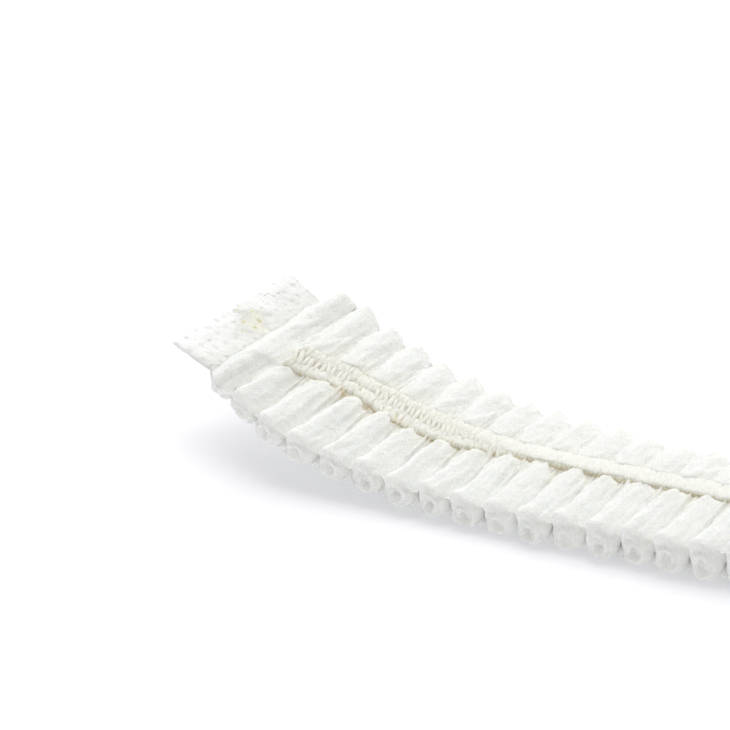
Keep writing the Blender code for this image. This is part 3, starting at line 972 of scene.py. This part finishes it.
def emboss(wire, entry):
    """Sunken weld dots through the pressed plies, a rumpled face and a ragged cut, with painted shade near
    the crown and in the dots, and a stain round the elastic's end.
    """
    where = wire.node("GeometryNodeInputPosition")
    part = wire.node("ShaderNodeSeparateXYZ", None, {"Vector": where})
    x, y = part, part.other("Y")
    dots = wire.node("GeometryNodeMeshGrid", None, {
        "Size X": entry.other("Dots Long"), "Size Y": entry.other("Dots Wide"),
        "Vertices X": entry.other("Rows"), "Vertices Y": entry.other("Columns")})
    jitter = wire.node("FunctionNodeRandomValue", {"data_type": "FLOAT_VECTOR"}, {
        0: (-DOT_JITTER, -DOT_JITTER, 0.0), 1: (DOT_JITTER, DOT_JITTER, 0.0),
        "Seed": entry.other("Seed")})
    shift = wire.node("ShaderNodeCombineXYZ", None, {"X": entry.other("Middle")})
    offset = wire.node("ShaderNodeVectorMath", {"operation": "ADD"}, {0: jitter, 1: shift})
    placed = wire.node("GeometryNodeSetPosition", None, {"Geometry": dots, "Offset": offset})
    points = wire.node("GeometryNodeMeshToPoints", None, {"Mesh": placed})
    flat = wire.node("ShaderNodeCombineXYZ", None, {"X": x, "Y": y})
    near = wire.node("GeometryNodeProximity", {"target_element": "POINTS"}, {
        "Geometry": points, "Sample Position": flat}, output="Distance")
    pit = (1.35 - near * wire.maths("DIVIDE", 1.0, entry.other("Dot Radius"))).at_least(0.0).at_most(1.0)
    rumple = wire.node("ShaderNodeTexNoise", None, {"Vector": flat, "Scale": PER_HALF_LENGTH, "Detail": 1.0})
    fine = wire.node("ShaderNodeTexNoise", None, {"Vector": flat, "Scale": 1500.0, "Detail": 2.0})
    normal = wire.node("GeometryNodeInputNormal")
    press = pit * entry.other("Dot Depth") * -1.0 + (fine - 0.5) * FINE_DEPTH
    pressed = wire.node("ShaderNodeVectorMath", {"operation": "SCALE"}, {0: normal, "Scale": press})
    outward = (x - entry.other("Middle")) * entry.other("Outward") * PER_HALF_LENGTH
    to_near = (y * -PER_HALF_WIDTH).at_least(0.0)
    droop = (outward * 0.6 + 0.4).at_least(0.0) * to_near * entry.other("Droop")
    wave = wire.node("ShaderNodeCombineXYZ", None, {
        "X": (fine - 0.5) * entry.other("Raggedness"), "Z": (rumple - 0.5) * RUMPLE_DEPTH - droop})
    move = wire.node("ShaderNodeVectorMath", {"operation": "ADD"}, {0: pressed, 1: wave})
    shaped = wire.node("GeometryNodeSetPosition", None, {
        "Geometry": entry.other("Geometry"), "Offset": move})
    from_elastic = (abs(x - entry.other("Middle")) * PER_HALF_LENGTH + abs(y) * PER_HALF_LENGTH
                    + fine * 1.2)
    stain = ((1.7 - from_elastic) * 1.3).at_least(0.0).at_most(1.0)
    # Painted shade: greyer towards the crown, where the tab runs in under the first puff, and a little
    # darker in the sunken dots. The stain round the elastic's end is its own colour.
    painted_joint_shade = (0.55 - outward + (rumple - 0.5) * 2.0).at_least(0.0).at_most(1.0)
    tint = ((pit * 0.07 + painted_joint_shade * 0.12).at_most(0.15) + stain * (0.18 + pit * 0.55)).at_most(1.0)
    return wire.node("GeometryNodeStoreNamedAttribute", {"data_type": "FLOAT", "domain": "POINT"}, {
        "Geometry": shaped, "Name": "tint", "Value": tint})


# The grey at 0.15 is painted shade near the crown and in the dots; the yellows and olives above it are the
# stain.
STAIN_AND_SHADE = (
    (0.0, (0.845, 0.85, 0.845, 1.0)),
    (0.15, (0.70, 0.70, 0.67, 1.0)),
    (0.30, (0.79, 0.78, 0.66, 1.0)),
    (0.65, (0.64, 0.61, 0.41, 1.0)),
    (1.0, (0.38, 0.35, 0.16, 1.0)),
)
PRESSED = cloth_settings(0.15, 0.0005, 0.5)
welded = nonwoven_finish("pressed nonwoven", (0.90, 0.91, 0.90, 1.0), STAIN_AND_SHADE, 0.00010, PRESSED)


def embossed(name, start, seed, size, finish):
    """A welded plate, size long, wide, thick and above the strip's base."""
    length, width, thickness, base = size
    piece = slab(name, start, length, width, base, thickness)
    grow(piece, name + "_emboss", {
        "Middle": start + length / 2,
        "Dots Long": DOT_SPACING[0] * (TAB_DOTS[0] - 1),
        "Dots Wide": DOT_SPACING[1] * (TAB_DOTS[1] - 1),
        "Rows": TAB_DOTS[0],
        "Columns": TAB_DOTS[1],
        "Dot Radius": 0.00035,
        "Dot Depth": 0.00009,
        "Raggedness": 0.0012,
        "Outward": 1.0 if start > 0 else -1.0,
        "Droop": 0.0009,
        "Seed": seed,
    }, emboss, finish)
    return lay_down(piece)


TAB_SIZE = (TAB_LENGTH + TAB_LAP, TAB_WIDTH, PRESSED_THICKNESS, TAB_HEIGHT - TAB_THICKNESS / 2)
for name, node, start, seed in (
    ("weld_tab_left_plies", "weld_tab_left", -TAB_LENGTH, 31),
    ("weld_tab_right_plies", "weld_tab_right", LENGTH - TAB_LAP, 32),
):
    tab = embossed(name, start, seed, TAB_SIZE, welded)
    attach(tab, "root")
    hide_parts(node)


# The ends of the elastic.
# The two latex threads run out between the pressed plies, where the weld has squashed them
# into an amber film that shows through and is dotted like the tab.

FILM_SINK = 0.00006                     # below the tab's face, so that its outline is hidden
FILM_INSET = 0.0004                     # from the first puff
ELASTIC_SIZE = (0.0032, 0.0042, 0.00008, TAB_SIZE[3] + TAB_SIZE[2] - FILM_SINK)

amber = nonwoven_finish("amber elastic film", (0.90, 0.91, 0.90, 1.0), STAIN_AND_SHADE, 0.00010, PRESSED)
for name, node, start, seed in (
    ("elastic_film_left", "elastic_end_left", -FILM_INSET - ELASTIC_SIZE[0], 31),
    ("elastic_film_right", "elastic_end_right", LENGTH + FILM_INSET, 32),
):
    film = embossed(name, start, seed, ELASTIC_SIZE, amber)
    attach(film, "root")
    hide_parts(node)
